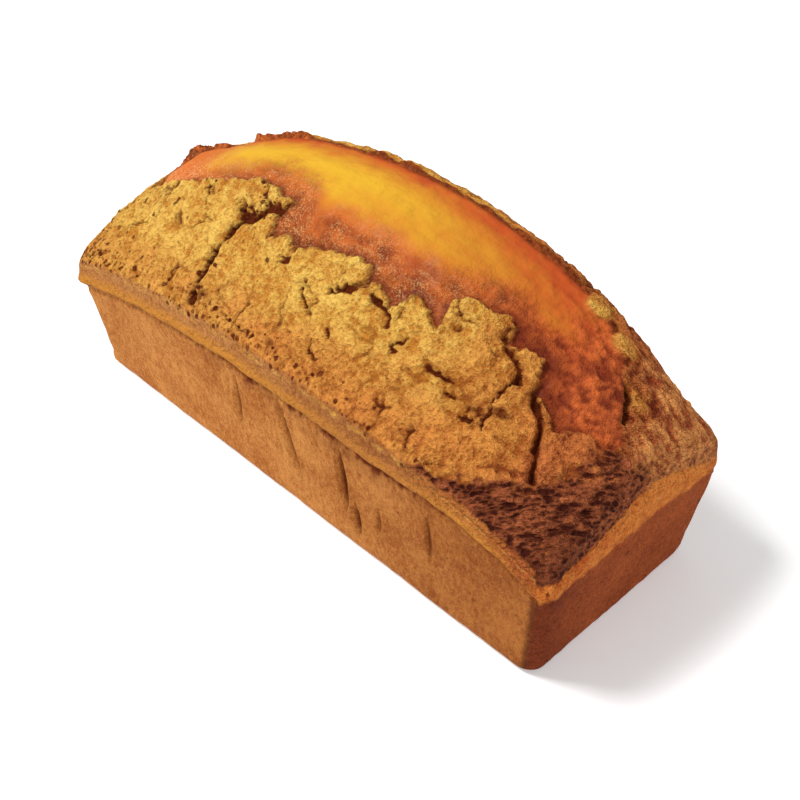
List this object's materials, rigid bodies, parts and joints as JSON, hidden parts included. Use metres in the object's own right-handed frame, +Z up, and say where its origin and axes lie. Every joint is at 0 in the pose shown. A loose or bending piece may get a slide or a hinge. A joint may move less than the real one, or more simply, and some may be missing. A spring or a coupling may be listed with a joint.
{
  "type": "loaf cake",
  "caption": "Whole vanilla loaf cake with tapered tin-baked sides, a rim above a crease, and a domed crust split open along the top over smooth golden crumb.",
  "frame": {"origin": "centre of the flat underside", "axes": "+Z up, +X along the length, -Y the side whose crust is torn lower on the crown"},
  "size_m": [0.251, 0.0936, 0.1098],
  "materials": {
    "crust": "matt baked crust, golden with browned edges"
  },
  "bodies": {
    "root": {"cake": "crust"}
  },
  "joints": []
}
